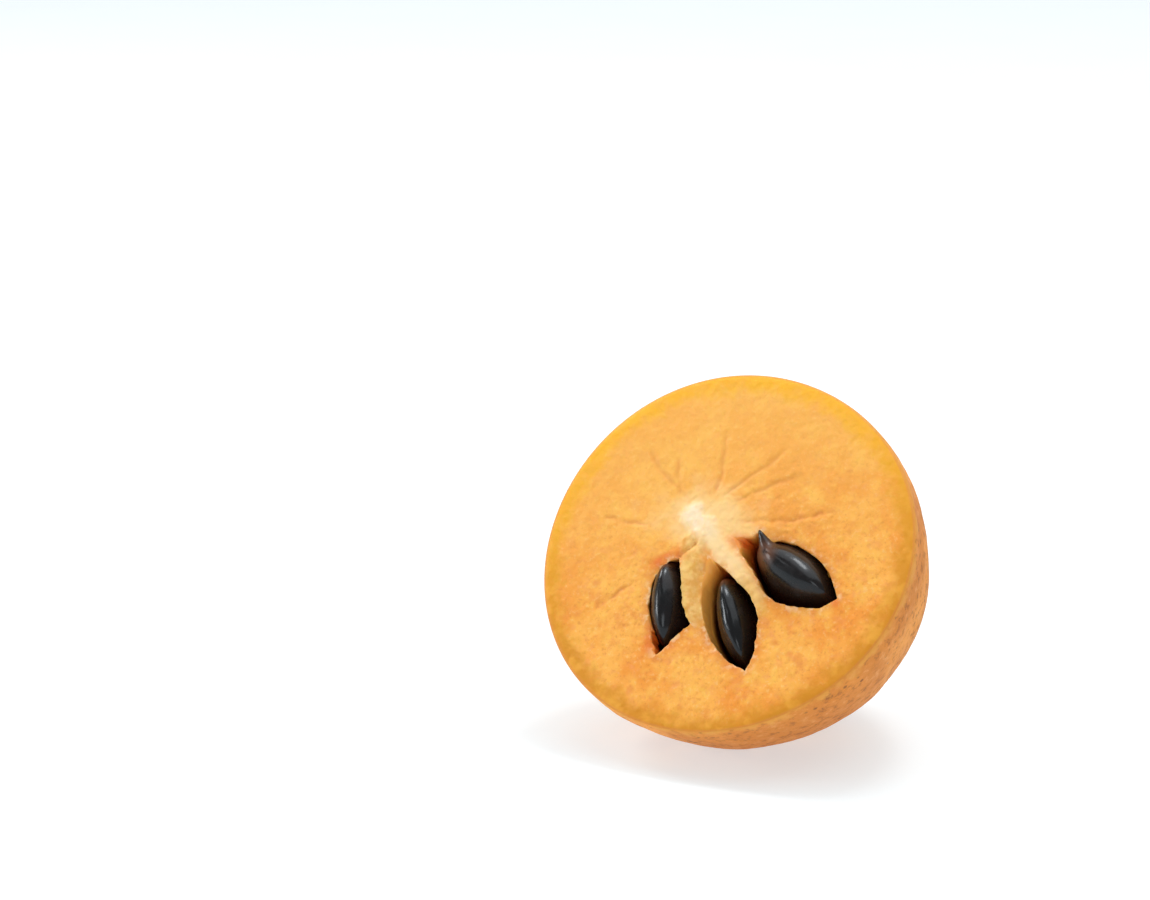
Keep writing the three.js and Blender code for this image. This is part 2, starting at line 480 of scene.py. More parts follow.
# %% [markdown]
# ## The pocket walls
#
# Each pocket is a tube that narrows from its mouth to the seed's own shape. Every point of the mouth is
# paired with the point of the seed's section in the same direction. Where the mouth stands well away
# from the seed, the flesh rolls over in a soft shoulder. Where it is tight, the wall drops straight
# down. Below that, the wall follows the seed a hair's breadth away.

# %% Sink the pockets
THROAT_DEPTH = 3.4  # where a wall has reached the seed
WALL_GAP = 0.3  # between wall and seed, below there
LEAST_GAP = 0.12  # and above
TIGHT, ROOMY = 0.4, 1.4  # a mouth this far out from the seed drops straight, or rolls over
SHOULDER_RINGS = 9
LOWER_RINGS = 13


def pocket_rings(seed, outline):
    """Rings of points from a pocket's mouth down to its bottom, in the fruit's axes."""
    top = np.column_stack([outline, face_height(outline)])
    local = fruit_to_seed(seed, top)
    half_wide, half_thick = seed["width"] / 2, seed["thickness"] / 2
    angle = np.unwrap(np.arctan2(local[:, 1] / half_thick, local[:, 0] / half_wide))
    angle = np.maximum.accumulate(angle)
    throat_height = (-THROAT_DEPTH - seed["middle"][2]) / (SEED_LENGTH / 2)
    throat = seed_to_fruit(seed, seed_section(seed, angle, np.zeros(len(angle)), WALL_GAP))
    throat[:, :2] += (throat_height * SEED_LENGTH / 2) * seed["axes"][2, :2]
    inwards = np.linalg.norm(outline - seed["middle"][:2], axis=1)
    inwards = inwards - np.linalg.norm(throat[:, :2] - seed["middle"][:2], axis=1)
    soft = smooth_step(inwards, TIGHT, ROOMY)[:, None]
    rings = [top]
    for step in range(1, SHOULDER_RINGS + 1):
        turn = 0.5 * math.pi * step / SHOULDER_RINGS
        across = soft * math.sin(turn) + (1 - soft) * (1 - math.cos(turn))
        down = soft[:, 0] * (1 - math.cos(turn)) + (1 - soft[:, 0]) * math.sin(turn)
        ring = np.column_stack([
            outline + across * (throat[:, :2] - outline),
            top[:, 2] * (1 - down) - THROAT_DEPTH * down,
        ])
        rings.append(keep_off(seed, ring, angle))
    for height in np.sin(np.linspace(math.asin(throat_height), -0.49 * math.pi, LOWER_RINGS + 1))[1:]:
        level = np.full(len(angle), min(height, 0.0))
        section = seed_section(seed, angle, level, WALL_GAP)
        section[:, 2] = height * (SEED_LENGTH / 2 + WALL_GAP)
        rings.append(seed_to_fruit(seed, section))
    return rings


def keep_off(seed, ring, angle):
    """Pushes a ring's points out of the seed, and a hair's breadth clear of it."""
    local = fruit_to_seed(seed, ring)
    height = np.clip(local[:, 2] / (SEED_LENGTH / 2), -1, 1)
    skin = seed_section(seed, angle, height, LEAST_GAP)
    short = np.linalg.norm(local[:, :2], axis=1) < np.linalg.norm(skin[:, :2], axis=1)
    local[short, :2] = skin[short, :2]
    return seed_to_fruit(seed, local)


pockets = {name: pocket_rings(SEEDS[name], mouths[name]) for name in SEEDS}
for name, rings in pockets.items():
    print(name, "pocket is", round(-rings[-1][:, 2].min(), 1), "mm deep")

# %% [markdown]
# ## The skin
#
# Behind the cut the fruit is half an egg that ends in the dry scar of its flower. Rings of points run
# from the cut edge to the scar, each with as many points as its length needs, and the same kind of
# triangulation joins them once they are laid out flat. Noise gives the shallow dents and the fine
# rough scurf that a sapodilla's skin has. The spot that it rests on is pressed flat.

# %% Shape the skin
SKIN_STEP = 0.55
SCAR_RADIUS, SCAR_HEIGHT = 1.4, 0.8
DIMPLE_RADIUS, DIMPLE_WIDTH, DIMPLE_DEPTH = 2.6, 1.3, 0.5  # the ring round the scar
LAST_RING = 0.985  # the share of the way to the tip where the rings stop


def skin_point(angle, share):
    """A point of the smooth skin: share is 0 at the cut edge and 1 at the blossom end."""
    turn = 0.5 * math.pi * (1 - share)
    reach = cut_edge(angle) * np.sin(turn)
    return np.column_stack([reach * np.cos(angle), reach * np.sin(angle), -HALF_LENGTH * np.cos(turn)])


def skin_layout():
    """Direction and share of every skin point, ring by ring, after the ring at the cut edge."""
    rings = []
    share = 0.0
    while share < LAST_RING:
        turn = 0.5 * math.pi * (1 - share)
        stretch = math.hypot(CUT_RADIUS * math.cos(turn), HALF_LENGTH * math.sin(turn))
        step = SKIN_STEP * (0.55 if share < 0.03 else 1.0)
        share += 0.87 * step / (stretch * 0.5 * math.pi)
        radius = CUT_RADIUS * math.sin(0.5 * math.pi * (1 - min(share, 0.995)))
        count = max(8, min(RIM_COUNT, round(2 * math.pi * radius / step)))
        offset = random.uniform(0, 2 * math.pi)
        angles = offset + np.linspace(0, 2 * math.pi, count, endpoint=False)
        rings.append(np.column_stack([angles, np.full(count, share)]))
    rings.append(np.array([[0.0, 1.0]]))
    return np.vstack(rings)


def skin_relief(points, share):
    """How far the skin stands out from the smooth egg, in millimetres."""
    relief = 0.28 * bumps(points, 13.0, 2, 7.0) + 0.05 * bumps(points, 2.6, 3, 8.0)
    relief += 0.035 * bumps(points, 0.9, 2, 9.0)
    relief *= smooth_step(share, 0.0, 0.06)
    reach = np.hypot(points[:, 0], points[:, 1])
    scar = SCAR_HEIGHT * (1 - smooth_step(reach, 0.6 * SCAR_RADIUS, 1.2 * SCAR_RADIUS))
    dimple = -DIMPLE_DEPTH * np.exp(-(((reach - DIMPLE_RADIUS) / DIMPLE_WIDTH) ** 2))
    ragged = 0.2 * bumps(points, 0.7, 2, 10.0) * np.exp(-((reach / SCAR_RADIUS) ** 2))
    at_tip = smooth_step(share, 0.8, 0.9)
    return relief + (scar + dimple + ragged) * at_tip + 0.12 * smooth_step(share, 0, 0.01)


layout = np.vstack([np.column_stack([rim_angles, np.zeros(RIM_COUNT)]), skin_layout()])
flat = (1 - layout[:, 1])[:, None] * np.column_stack([np.cos(layout[:, 0]), np.sin(layout[:, 0])])
found, _, triangles, *_ = delaunay_2d_cdt([Vector(point) for point in flat], [], [], 0, 1e-9)
assert len(found) == len(flat) and np.allclose([point[:] for point in found], flat, atol=1e-5)
skin_triangles = np.array(triangles)[:, ::-1]
skin_points = skin_point(layout[:, 0], layout[:, 1])
outward = skin_points / (CUT_RADIUS**2, CUT_RADIUS**2, HALF_LENGTH**2)
outward /= np.linalg.norm(outward, axis=1)[:, None]
skin_points += outward * skin_relief(skin_points, layout[:, 1])[:, None]
skin_points[:RIM_COUNT] = face_points[:RIM_COUNT]
lowest = -(face_middle[2] + skin_points @ fruit_axes[:, 2])
skin_points += np.maximum(lowest, 0)[:, None] * fruit_axes[:, 2]
print("skin:", len(skin_points), "points and", len(skin_triangles), "triangles")
print("pressed flat on the ground:", int((lowest > 0).sum()), "points")

# %% [markdown]
# ## One closed body
#
# Face, walls and skin share the points along their edges, so they go together as one mesh with no gaps.
# While the faces are listed, each corner also gets a place on a flat map for a baked texture: cut face
# and skin are two discs there, and each pocket wall is a strip beside them.

# %% Join face, walls and skin
FACE_MAP = (0.30, 0.30, 0.286 / 29.6)  # middle of the disc, and its size for each millimetre
SKIN_MAP = (0.72, 0.72, 0.275)
STRIP_MAP = (0.01, 0.62, 0.41, 0.115, 0.125)  # left, foot, width, height, and step between strips


def build_body():
    """All points, faces and map corners of the half fruit, and where its parts start."""
    points, faces, corners = [face_points], [], []
    face_map = np.array(FACE_MAP[:2]) + face_points[:, :2] * FACE_MAP[2]
    for row in face_triangles:
        faces.append(row.tolist())
        corners.extend(face_map[row])
    total = len(face_points)
    left, foot, wide, tall, apart = STRIP_MAP
    for strip, (name, start) in enumerate(zip(SEEDS, starts[1:])):
        rings = pockets[name]
        count, levels = len(rings[0]), len(rings)
        upper = list(range(start, start + count))
        for level, ring in enumerate(rings[1:] + [rings[-1].mean(axis=0)[None]]):
            over = foot + strip * apart + tall * (1 - level / levels)
            under = foot + strip * apart + tall * (1 - (level + 1) / levels)
            lower = list(range(total, total + len(ring)))
            for here in range(count):
                there = (here + 1) % count
                u, v = left + wide * here / count, left + wide * (here + 1) / count
                if len(ring) > 1:
                    faces.append([upper[here], upper[there], lower[there], lower[here]])
                    corners += [(u, over), (v, over), (v, under), (u, under)]
                else:
                    faces.append([upper[here], upper[there], lower[0]])
                    corners += [(u, over), (v, over), ((u + v) / 2, under)]
            points.append(ring)
            total += len(ring)
            upper = lower
    skin_start, flesh_faces = total, len(faces)
    numbers = np.r_[np.arange(RIM_COUNT), np.arange(total, total + len(skin_points) - RIM_COUNT)]
    skin_map = np.array(SKIN_MAP[:2]) + flat * (-SKIN_MAP[2], SKIN_MAP[2])
    for row in skin_triangles:
        faces.append(numbers[row].tolist())
        corners.extend(skin_map[row])
    points.append(skin_points[RIM_COUNT:])
    return np.vstack(points), faces, np.array(corners), flesh_faces, skin_start


def mesh_from(name, points, faces):
    """A smooth-shaded object from points in the fruit's axes."""
    mesh = bpy.data.meshes.new(name)
    mesh.from_pydata(lay(points).tolist(), [], faces)
    mesh.shade_smooth()
    piece = bpy.data.objects.new(name, mesh)
    bpy.context.scene.collection.objects.link(piece)
    return piece


def open_edges(mesh):
    """How many edges don't have exactly two faces: a closed body has none."""
    edge_of_corner = np.zeros(len(mesh.loops), int)
    mesh.loops.foreach_get("edge_index", edge_of_corner)
    return int((np.bincount(edge_of_corner, minlength=len(mesh.edges)) != 2).sum())


body_points, body_faces, map_corners, flesh_faces, skin_start = build_body()
fruit = mesh_from("cut_fruit", body_points, body_faces)
fruit.data.uv_layers.new(name="OFBake").uv.foreach_set("vector", map_corners.ravel().astype(np.float32))
fruit.data.polygons.foreach_set("material_index", (np.arange(len(body_faces)) >= flesh_faces).astype(int))
print("whole body:", len(body_faces), "faces, open edges:", open_edges(fruit.data))

# %% [markdown]
# ## Where the fruit changes colour
#
# Each point also carries a few numbers that the finish needs: how far it is from the cut edge, how deep
# it lies in a pocket, how much it belongs to the pale core, to a vein, to the flap, to the slope below
# it or to the moist flesh along the mouths, and how far it is along the skin. The material nodes can
# read them, so colour follows the real borders and the nodes only add what is irregular.

# %% Store what the finish needs on the points
STREAK = [(-10.2, -3.6), (-8.4, -2.3), (-6.8, -1.2), (-5.4, 0.5)]  # redder flesh above the left mouth, with painted light glowing red-orange through it
GLOWS = [  # pocket corners where light shines through: middle and reach
    ((-7.5, -15.0), (2.2, 4.4)), ((2.0, 1.8), (2.6, 1.8)), ((19.6, -5.6), (1.0, 1.0)),
]
FAR = 20.0  # as good as endless, mm
PALER_AND_LIT_WAY, PALER_AND_LIT_START, PALER_AND_LIT_END = (-0.35, 0.94), -14.0, 24.0  # lighter and yellower towards the upper left: painted light from there, and paler flesh


def store(piece, name, values):
    """Keeps a number for each point of a piece, under a name."""
    piece.data.attributes.new(name, "FLOAT", "POINT").data.foreach_set("value", values.astype(np.float32))


face_count = len(face_points)
whole = len(body_points)
xy = body_points[:, :2]
on_face = np.arange(whole) < face_count
facts = {name: np.zeros(whole) for name in (
    "edge", "depth", "core", "halo", "along_arm", "paler_and_lit_side", "vein", "flap", "moist", "streak",
    "glow", "tip", "lit_slope",
)}
flat_xy = xy[on_face]
face_angle = np.arctan2(flat_xy[:, 1], flat_xy[:, 0])
facts["edge"][:] = FAR
facts["edge"][on_face] = cut_edge(face_angle) - np.hypot(flat_xy[:, 0], flat_xy[:, 1])
for name, rule in (("core", core_share), ("halo", halo_share), ("vein", vein_share), ("flap", flap_share)):
    facts[name][on_face] = rule(flat_xy)
facts["along_arm"][on_face] = distance_to_path(flat_xy, ARM)[1]
facts["paler_and_lit_side"][on_face] = smooth_step(flat_xy @ PALER_AND_LIT_WAY, PALER_AND_LIT_START, PALER_AND_LIT_END)
to_glow = np.min([np.linalg.norm((xy - place) / size, axis=1) for place, size in GLOWS], axis=0)
facts["glow"] = 1 - smooth_step(to_glow, 0.3, 1.0)
to_streak, _ = distance_to_path(xy, STREAK)
facts["streak"] = (1 - smooth_step(to_streak, 0.3, 1.7)) * on_face
to_mouth = np.full(face_count, FAR)
for outline in mouths.values():
    away, _ = distance_to_path(flat_xy, np.vstack([outline, outline[:1]]))
    to_mouth = np.minimum(to_mouth, away)
facts["moist"][on_face] = 1 - smooth_step(to_mouth, 0.0, 1.5)
wall_start = face_count
for name in SEEDS:
    for ring in pockets[name][1:]:
        part = slice(wall_start, wall_start + len(ring))
        facts["depth"][part] = np.maximum(0, -ring[:, 2])
        # painted light: this marks the wall of the middle pocket below the flap's roll, which the flesh
        # finish paints as light as the lit face
        if name == "seed_middle":
            facts["lit_slope"][part] = 1 - smooth_step(distance_to_path(ring[:, :2], ROLL)[0], 0.8, 3.0)
        wall_start += len(ring)
    facts["depth"][wall_start] = SEED_LENGTH
    wall_start += 1
facts["tip"][skin_start:] = layout[RIM_COUNT:, 1]
for name, values in facts.items():
    store(fruit, name, values)
print("attributes on the fruit:", ", ".join(facts))

# %% [markdown]
# ## The seeds as meshes
#
# A seed is the section from before, swept from end to end in many fine rings. Small noise keeps the
# hard coat from looking turned on a lathe. The right seed also ends in a little hook at its inner upper
# corner, where it was joined to the core, so the points there are pulled out. Each seed has a brown,
# rougher patch near its inner keel, the scar of that joint, kept as an attribute.

# %% Build the seeds
SEED_SIDES, SEED_RINGS = 110, 72
HOOKED_SEED = "seed_right"
HOOK, HOOK_REACH, HOOK_PULL = (-5.9, 0.9, 8.9), 0.8, (-2.0, 1.2, 0.9)


def build_seed(name):
    """A seed's finished mesh, in its place."""
    seed = SEEDS[name]
    angles = np.linspace(0, 2 * math.pi, SEED_SIDES, endpoint=False)
    heights = np.sin(np.linspace(-0.5 * math.pi, 0.5 * math.pi, SEED_RINGS + 2))[1:-1]
    local = np.vstack([seed_section(seed, angles, np.full(SEED_SIDES, height)) for height in heights])
    local = np.vstack([local, [(0, 0, -SEED_LENGTH / 2), (0, 0, SEED_LENGTH / 2)]])
    relief = 0.10 * bumps(local, 5.0, 2, 31 + len(name)) + 0.018 * bumps(local, 1.1, 2, 32)
    outwards = local / (seed["width"], seed["thickness"], SEED_LENGTH)
    outwards /= np.linalg.norm(outwards, axis=1)[:, None]
    local += outwards * relief[:, None]
    if name == HOOKED_SEED:
        away = np.linalg.norm(local - HOOK, axis=1)
        local += np.exp(-((away / HOOK_REACH) ** 2))[:, None] * HOOK_PULL
    faces = []
    for ring in range(SEED_RINGS - 1):
        for side in range(SEED_SIDES):
            here, there = ring * SEED_SIDES + side, ring * SEED_SIDES + (side + 1) % SEED_SIDES
            faces.append([here, there, there + SEED_SIDES, here + SEED_SIDES])
    foot, head, last = len(local) - 2, len(local) - 1, (SEED_RINGS - 1) * SEED_SIDES
    for side in range(SEED_SIDES):
        there = (side + 1) % SEED_SIDES
        faces.append([there, side, foot])
        faces.append([last + side, last + there, head])
    piece = mesh_from(name + "_coat", seed_to_fruit(seed, local), faces)
    x, y, reach = seed["scar"]
    away = np.hypot(local[:, 0] - x, local[:, 1] - y)
    store(piece, "joint_scar", 1 - smooth_step(away, 0.3 * reach, reach))
    return piece


coats = {name: build_seed(name) for name in SEEDS}
for name, piece in coats.items():
    print(piece.name, len(piece.data.vertices), "points, open edges:", open_edges(piece.data))

# %% [markdown]
# ## Node helpers
#
# All three finishes need the same few things: noise with a size in millimetres, a number stored on the
# points, a curve that turns a number into a share, and a mix of two colours by a share. With a helper
# for each, a material reads like a recipe: a base colour first, then one thin layer over another.

# %% Node helpers
class Recipe:
    """A new material with its shader, and short ways to add the nodes that feed it."""

    def __init__(self, name, colour):
        self.material = bpy.data.materials.new(name)
        self.material.use_nodes = True
        self.material.diffuse_color = (*colour, 1)
        self.nodes = self.material.node_tree.nodes
        self.links = self.material.node_tree.links
        self.shader = self.nodes["Principled BSDF"]
        self.place = self.nodes.new("ShaderNodeTexCoord").outputs["Object"]
        self.colour = None

    def fill(self, socket, value):
        """Sets an input to a number or colour, or links it to another node's output."""
        if isinstance(value, bpy.types.NodeSocket):
            self.links.new(value, socket)
        elif isinstance(value, tuple) and len(value) == 3 and socket.type == "RGBA":
            socket.default_value = (*value, 1)
        else:
            socket.default_value = value

    def stored(self, name, times=1.0):
        """A number that the points carry, or a fixed part of it."""
        node = self.nodes.new("ShaderNodeAttribute")
        node.attribute_name = name
        value = node.outputs["Fac"]
        return value if times == 1.0 else self.times(value, times)

    def noise(self, size, detail=3.0, roughness=0.55, warp=0.0):
        """Noise of about 0 to 1, with features of that size in millimetres."""
        node = self.nodes.new("ShaderNodeTexNoise")
        self.links.new(self.place, node.inputs["Vector"])
        node.inputs["Scale"].default_value = 1 / (size * MM)
        node.inputs["Detail"].default_value = detail
        node.inputs["Roughness"].default_value = roughness
        node.inputs["Distortion"].default_value = warp
        return node.outputs["Fac"]

    def cells(self, size):
        """Distance to the nearest of many scattered points, about 0 to 1."""
        node = self.nodes.new("ShaderNodeTexVoronoi")
        self.links.new(self.place, node.inputs["Vector"])
        node.inputs["Scale"].default_value = 1 / (size * MM)
        return node.outputs["Distance"]

    def share(self, value, start, end, low=0.0, high=1.0):
        """Turns a value between start and end into a smooth share between low and high."""
        node = self.nodes.new("ShaderNodeMapRange")
        node.interpolation_type = "SMOOTHSTEP"
        for name, number in zip(("Value", "From Min", "From Max", "To Min", "To Max"),
                                (value, start, end, low, high)):
            self.fill(node.inputs[name], number)
        return node.outputs["Result"]

    def maths(self, operation, first, second):
        """The sum, product or larger of two values, as the operation says."""
        node = self.nodes.new("ShaderNodeMath")
        node.operation = operation
        self.fill(node.inputs[0], first)
        self.fill(node.inputs[1], second)
        return node.outputs[0]

    def mix(self, share, first, second):
        """The first colour, turning into the second as share goes from 0 to 1."""
        node = self.nodes.new("ShaderNodeMix")
        node.data_type = "RGBA"
        self.fill(node.inputs["Factor"], share)
        self.fill(node.inputs["A"], first)
        self.fill(node.inputs["B"], second)
        return node.outputs["Result"]

    def times(self, first, second):
        return self.maths("MULTIPLY", first, second)

    def over(self, share, tone):
        """Lays a colour over what is mixed so far, as thickly as share says."""
        self.colour = self.mix(share, self.colour, tone)

    def bump(self, *layers):
        """Joins bump layers of (height, strength, distance in millimetres) and feeds the shader."""
        normal = None
        for height, strength, distance in layers:
            node = self.nodes.new("ShaderNodeBump")
            self.fill(node.inputs["Height"], height)
            node.inputs["Strength"].default_value = strength
            node.inputs["Distance"].default_value = distance * MM
            if normal:
                self.links.new(normal, node.inputs["Normal"])
            normal = node.outputs["Normal"]
        self.links.new(normal, self.shader.inputs["Normal"])

    def set(self, **values):
        """Sets the shader's inputs, with _ for a space in their names."""
        for name, value in values.items():
            self.fill(self.shader.inputs[name.replace("_", " ")], value)


def paint(red, green, blue):
    """A colour as a screen shows it, 0 to 255, as the linear values that nodes want."""
    parts = np.array([red, green, blue]) / 255
    return tuple(float(part) for part in np.where(parts < 0.04045, parts / 12.92,
                                                  ((parts + 0.055) / 1.055) ** 2.4))


print("warm orange is", [round(part, 3) for part in paint(250, 176, 88)])

# %% [markdown]
# ## The flesh
#
# Ripe sapodilla flesh is a warm, slightly see-through orange, grainy like a pear. It turns yellower and
# a little green just under the skin, and cream along the core. Rosy patches and reddish grains lie in
# it, the veins are a shade deeper, and pale crumbs stick along the mouths. The wet pocket walls are
# painted with shade, amber and then deep red-brown with depth; only the slope by the middle seed is painted
# light.
# Light that scatters under the surface softens all of this.

# %% Mix the flesh
flesh = Recipe("sapodilla_flesh", (0.9, 0.42, 0.12))
cloud = flesh.noise(9.0, 3.0)
flesh.colour = flesh.mix(flesh.share(cloud, 0.4, 0.6), paint(243, 154, 52), paint(253, 181, 78))
mottle = flesh.noise(3.0, 4.0, 0.62)
flesh.over(flesh.share(mottle, 0.48, 0.3, 0.0, 0.65), paint(234, 144, 60))
flesh.over(flesh.share(flesh.noise(2.1, 3.0), 0.5, 0.7, 0.0, 0.5), paint(255, 196, 84))
grain = flesh.noise(0.7, 3.0, 0.72)
flesh.over(flesh.share(grain, 0.47, 0.30, 0.0, 0.42), paint(210, 116, 46))
flesh.over(flesh.share(grain, 0.54, 0.70, 0.0, 0.42), paint(255, 208, 132))
flecks = flesh.times(flesh.share(flesh.cells(3.4), 0.3, 0.08), flesh.share(flesh.noise(4.5), 0.48, 0.62))
flesh.over(flesh.times(flecks, 0.4), paint(216, 106, 36))
rosy = flesh.share(flesh.noise(1.9, 4.0, 0.6), 0.47, 0.33, 0.0, 0.4)
flesh.over(rosy, paint(240, 152, 84))
vein = flesh.times(flesh.stored("vein"), flesh.share(flesh.noise(2.0), 0.3, 0.6))
flesh.over(flesh.times(vein, 0.7), paint(206, 104, 36))
# painted light: towards the upper left, where the light falls, the face and its rim band are painted lighter
# and yellower, over flesh that is also paler there
paler_and_lit = flesh.stored("paler_and_lit_side")
flesh.over(flesh.times(paler_and_lit, 0.65), paint(252, 189, 90))
edge = flesh.stored("edge")
ragged_edge = flesh.maths("ADD", edge, flesh.share(flesh.noise(2.4), 0.2, 0.8, -1.1, 1.1))
rim_tint = flesh.mix(paler_and_lit, paint(214, 140, 12), paint(251, 184, 32))
rim_tint = flesh.mix(flesh.share(flesh.noise(2.6, 3.0), 0.45, 0.65, 0.0, 0.5), rim_tint, paint(244, 178, 60))
flesh.over(flesh.share(ragged_edge, 4.2, 0.8, 0.0, 0.92), rim_tint)
flesh.over(flesh.share(edge, 0.45, 0.1, 0.0, 0.6), paint(220, 140, 62))
# painted light: a red-orange glow, as of light through the flesh, laid over the redder flesh above the left
# mouth
uneven = flesh.share(flesh.noise(2.0, 3.0), 0.3, 0.65, 0.15, 0.9)
streak = flesh.times(flesh.stored("streak"), uneven)
flesh.over(streak, paint(228, 104, 24))
flesh.over(flesh.stored("moist", 0.45), paint(220, 132, 58))
crumbs = flesh.times(flesh.stored("moist"), flesh.share(flesh.noise(1.0, 3.0), 0.5, 0.64))
flesh.over(flesh.times(crumbs, 0.75), paint(252, 205, 152))
flesh.over(flesh.stored("halo", 0.92), paint(254, 211, 142))
flap_tone = flesh.mix(flesh.share(flesh.noise(1.3), 0.35, 0.65), paint(230, 172, 82), paint(248, 206, 124))
flesh.over(flesh.stored("flap", 0.8), flap_tone)
along_arm = flesh.stored("along_arm")
pale = flesh.mix(flesh.share(along_arm, 0.08, 0.4), paint(255, 231, 198), paint(252, 216, 158))
pale = flesh.mix(flesh.share(along_arm, 0.55, 1.0), pale, paint(224, 178, 98))
pale = flesh.mix(flesh.share(flesh.noise(1.5), 0.4, 0.7, 0.0, 0.5), pale, paint(253, 214, 146))
flesh.over(flesh.stored("core", 0.92), pale)
# painted shade: the pocket walls are painted darker with depth, amber, then red-brown, then almost
# black-brown at the bottom
depth = flesh.stored("depth")
for start, end, tone in ((0.0, 1.0, (220, 156, 70)), (0.6, 2.2, (206, 124, 40)),
                         (1.8, 3.4, (180, 78, 18)), (3.2, 5.0, (140, 44, 10)), (4.8, 8.0, (80, 26, 8))):
    flesh.over(flesh.share(depth, start, end), paint(*tone))
# painted light: the wall below the flap's roll is painted light orange, as if lit, over the painted shade of
# depth
lit_slope = flesh.times(flesh.stored("lit_slope"), flesh.share(depth, 6.5, 2.4))
flesh.over(lit_slope, paint(246, 172, 76))
glow = flesh.times(flesh.stored("glow"), flesh.share(depth, 0.0, 1.0, 0.4, 0.85))
flesh.over(glow, paint(232, 98, 24))
moist = flesh.stored("moist", 0.5)
wet = flesh.maths("MAXIMUM", flesh.share(depth, 0.0, 1.0), moist)
flesh.set(
    Base_Color=flesh.colour,
    Roughness=flesh.share(wet, 0.0, 1.0, 0.56, 0.34),
    Subsurface_Weight=0.22, Subsurface_Scale=0.0022, Subsurface_Radius=(1.0, 0.38, 0.1),
    Specular_IOR_Level=0.4,
)
flesh.bump((flesh.noise(2.4, 2.0), 0.25, 0.25), (grain, 0.35, 0.16), (flesh.noise(0.32, 2.0), 0.25, 0.07))
print("flesh uses", len(flesh.nodes), "nodes")

# %% [markdown]
# ## The skin
#
# The skin is thin, dry and matt, like fine suede. Its colour goes from orange where the scurf has rubbed
# off to dull brown where it is thick, with small darker dots. The pattern of the scurf also roughens it.

# %% Mix the skin
skin = Recipe("sapodilla_skin", (0.6, 0.3, 0.12))
patches = skin.noise(14.0, 3.0, 0.55, warp=0.4)
skin.colour = skin.mix(skin.share(patches, 0.36, 0.62), paint(242, 158, 66), paint(216, 132, 48))
scurf = skin.noise(1.6, 5.0, 0.72)
skin.over(skin.share(scurf, 0.5, 0.66, 0.0, 0.75), paint(168, 96, 48))
skin.over(skin.share(scurf, 0.44, 0.3, 0.0, 0.5), paint(244, 176, 98))
dots = skin.times(skin.share(skin.cells(2.3), 0.2, 0.08), skin.share(skin.noise(4.0), 0.42, 0.6))
skin.over(skin.times(dots, 0.75), paint(104, 52, 26))
blemish = skin.share(skin.noise(6.0, 5.0, 0.7), 0.58, 0.66)
blemish = skin.times(blemish, skin.share(scurf, 0.45, 0.6))
skin.over(skin.times(blemish, 0.6), paint(122, 66, 34))
tip = skin.stored("tip")
frayed = skin.maths("ADD", tip, skin.share(skin.noise(2.2, 4.0), 0.25, 0.75, -0.022, 0.022))
skin.over(skin.share(frayed, 0.034, 0.0, 0.0, 0.85), paint(228, 158, 66))
skin.over(skin.share(tip, 0.88, 0.965, 0.0, 0.75), paint(120, 72, 42))
skin.set(
    Base_Color=skin.colour,
    Roughness=skin.share(scurf, 0.3, 0.7, 0.6, 0.82),
    Subsurface_Weight=0.08, Subsurface_Scale=0.0015, Subsurface_Radius=(1.0, 0.4, 0.15),
    Specular_IOR_Level=0.35,
)
skin.bump((scurf, 0.5, 0.22), (skin.noise(0.4, 2.0), 0.3, 0.08))
print("skin uses", len(skin.nodes), "nodes")

# %% [markdown]
# ## The seed coat
#
# The coat is hard and black-brown, polished by nature like a beetle's back, but a thin film of juice has
# dried on parts of it and left them duller. So the roughness varies in soft patches over a base that is
# almost black, with a clear coat on top. The patch near the inner keel is brown and matt.

# %% Mix the seed coat
coat = Recipe("sapodilla_seed_coat", (0.02, 0.015, 0.014))
film = coat.noise(3.2, 3.0, 0.6)
coat.colour = coat.mix(coat.share(coat.noise(5.0), 0.35, 0.65), paint(18, 18, 19), paint(26, 20, 20))
coat.over(coat.share(film, 0.52, 0.7, 0.0, 0.3), paint(52, 46, 46))
scar = coat.times(coat.stored("joint_scar"), coat.share(coat.noise(1.6), 0.2, 0.5))
coat.over(coat.times(scar, 0.9), paint(92, 54, 30))
coat.set(
    Base_Color=coat.colour,
    Roughness=coat.maths("ADD", coat.share(film, 0.4, 0.7, 0.2, 0.38), coat.times(scar, 0.25)),
    Coat_Weight=0.25, Coat_Roughness=0.12, Specular_IOR_Level=0.4, IOR=1.36,
    Specular_Tint=(0.78, 0.9, 1.0),
)
coat.bump((film, 0.2, 0.2), (coat.noise(0.5, 3.0), 0.2, 0.05))
print("seed coat uses", len(coat.nodes), "nodes")

# %% [markdown]
# ## Hand the pieces over
#
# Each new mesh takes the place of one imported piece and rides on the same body, so that physics and looks
# stay together. The slots name the finish that a later scene may repaint.

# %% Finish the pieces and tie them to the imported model
fruit.data.materials.append(flesh.material)
fruit.data.materials.append(skin.material)
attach(fruit, "root")
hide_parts("half_fruit")
for name, piece in coats.items():
    piece.data.materials.append(coat.material)
    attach(piece, "root")
    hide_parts(name)

# %% [markdown]
# ## Floor and light
#
# The fruit lies in plain, soft daylight on a pale floor. A wide softbox overhead gives the even light and
# the faint shadow where fruit and floor touch, and a weaker one in front opens the cut face. What makes
# the seeds look glossy is small bright things to reflect, so a few cards of light stand round the fruit,
# each where one seed's shoulder mirrors it. The floor glows a little, which keeps the shadows pale.

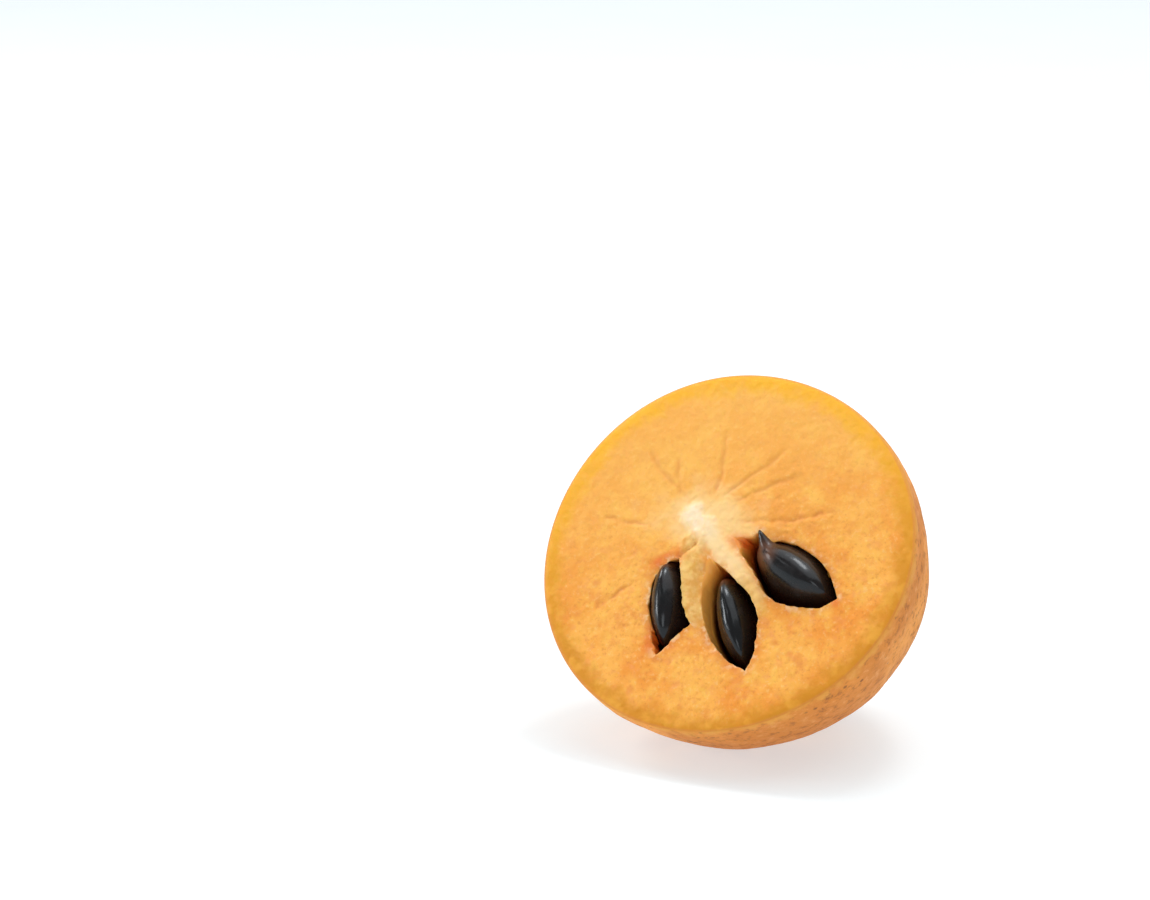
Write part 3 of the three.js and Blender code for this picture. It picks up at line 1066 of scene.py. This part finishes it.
# %% Lay the floor and hang the lights
floor_mesh = bpy.data.meshes.new("floor")
floor_mesh.from_pydata([(-4, -4, 0), (4, -4, 0), (4, 4, 0), (-4, 4, 0)], [], [(0, 1, 2, 3)])
floor = bpy.data.objects.new("floor", floor_mesh)
bpy.context.scene.collection.objects.link(floor)
paper = Recipe("pale_paper", (0.9, 0.9, 0.9))
paper.set(
    Base_Color=paper.mix(paper.noise(40.0), (0.475, 0.51, 0.52), (0.505, 0.54, 0.55)), Roughness=0.9,
    Emission_Color=(0.885, 0.955, 1.0), Emission_Strength=0.545, Specular_IOR_Level=0.2,
)
floor.data.materials.append(paper.material)

LIGHTS = {  # width and height in metres, power in watts, place, and what it points at
    "overhead_softbox": (1.6, 1.6, 10.6, (0.15, 0.35, 1.2), (0, 0, 0)),
    "overhead_card": (0.25, 0.25, 2.3, (0.07, 0.28, 0.9), (0, -0.01, 0.03)),
    "left_high_card": (0.28, 0.28, 2.3, (-0.74, 0.15, 0.6), (0, -0.01, 0.03)),
    "left_low_card": (0.2, 0.34, 2.4, (-0.86, -0.36, 0.22), (0, -0.01, 0.03)),
    "front_softbox": (0.5, 0.5, 2.0, (0.75, -0.85, 0.35), (0, -0.01, 0.03)),
    "window_card": (0.16, 0.16, 0.16, (-0.34, -0.43, 0.6), (0, -0.01, 0.03)),
}
for name, (wide, tall, power, place, target) in LIGHTS.items():
    lamp = bpy.data.lights.new(name, "AREA")
    lamp.shape = "RECTANGLE"
    lamp.size, lamp.size_y, lamp.energy = wide, tall, power
    holder = bpy.data.objects.new(name, lamp)
    holder.location = place
    holder.rotation_euler = (Vector(place) - Vector(target)).to_track_quat("Z", "Y").to_euler()
    bpy.context.scene.collection.objects.link(holder)
world = bpy.data.worlds.new("soft_room")
world.use_nodes = True
world.node_tree.nodes["Background"].inputs["Color"].default_value = (1.0, 0.99, 0.97, 1)
world.node_tree.nodes["Background"].inputs["Strength"].default_value = 0.35
bpy.context.scene.world = world
bpy.context.scene.view_settings.view_transform = "Standard"
print("lights:", ", ".join(LIGHTS))

# %% [markdown]
# ## Camera
#
# The camera looks at the cut face from the front, from its right and low, with a long lens, so the left
# and upper walls of the pockets show. It aims a little past the fruit, up and to the left.

# %% Place the camera
CAMERA_TURN = math.radians(25.9)
CAMERA_RAISE = math.radians(16)
CAMERA_DISTANCE = 520.0  # from the middle of the cut face, mm
AIM_LEFT, AIM_UP = 22.46, 14.7  # mm

away = Vector((
    math.sin(CAMERA_TURN) * math.cos(CAMERA_RAISE),
    -math.cos(CAMERA_TURN) * math.cos(CAMERA_RAISE),
    math.sin(CAMERA_RAISE),
))
right = Vector((math.cos(CAMERA_TURN), math.sin(CAMERA_TURN), 0))
up = away.cross(right)
centre = Vector(face_middle)
aim = centre - AIM_LEFT * right + AIM_UP * up
lens = bpy.data.cameras.new("camera")
lens.lens, lens.sensor_width = 109.2, 36.0
lens.clip_start = 0.01
camera = bpy.data.objects.new("camera", lens)
camera.location = (centre + CAMERA_DISTANCE * away) * MM
camera.rotation_euler = (centre + CAMERA_DISTANCE * away - aim).to_track_quat("Z", "Y").to_euler()
bpy.context.scene.collection.objects.link(camera)
bpy.context.scene.camera = camera
print("camera at", [round(value, 3) for value in camera.location])
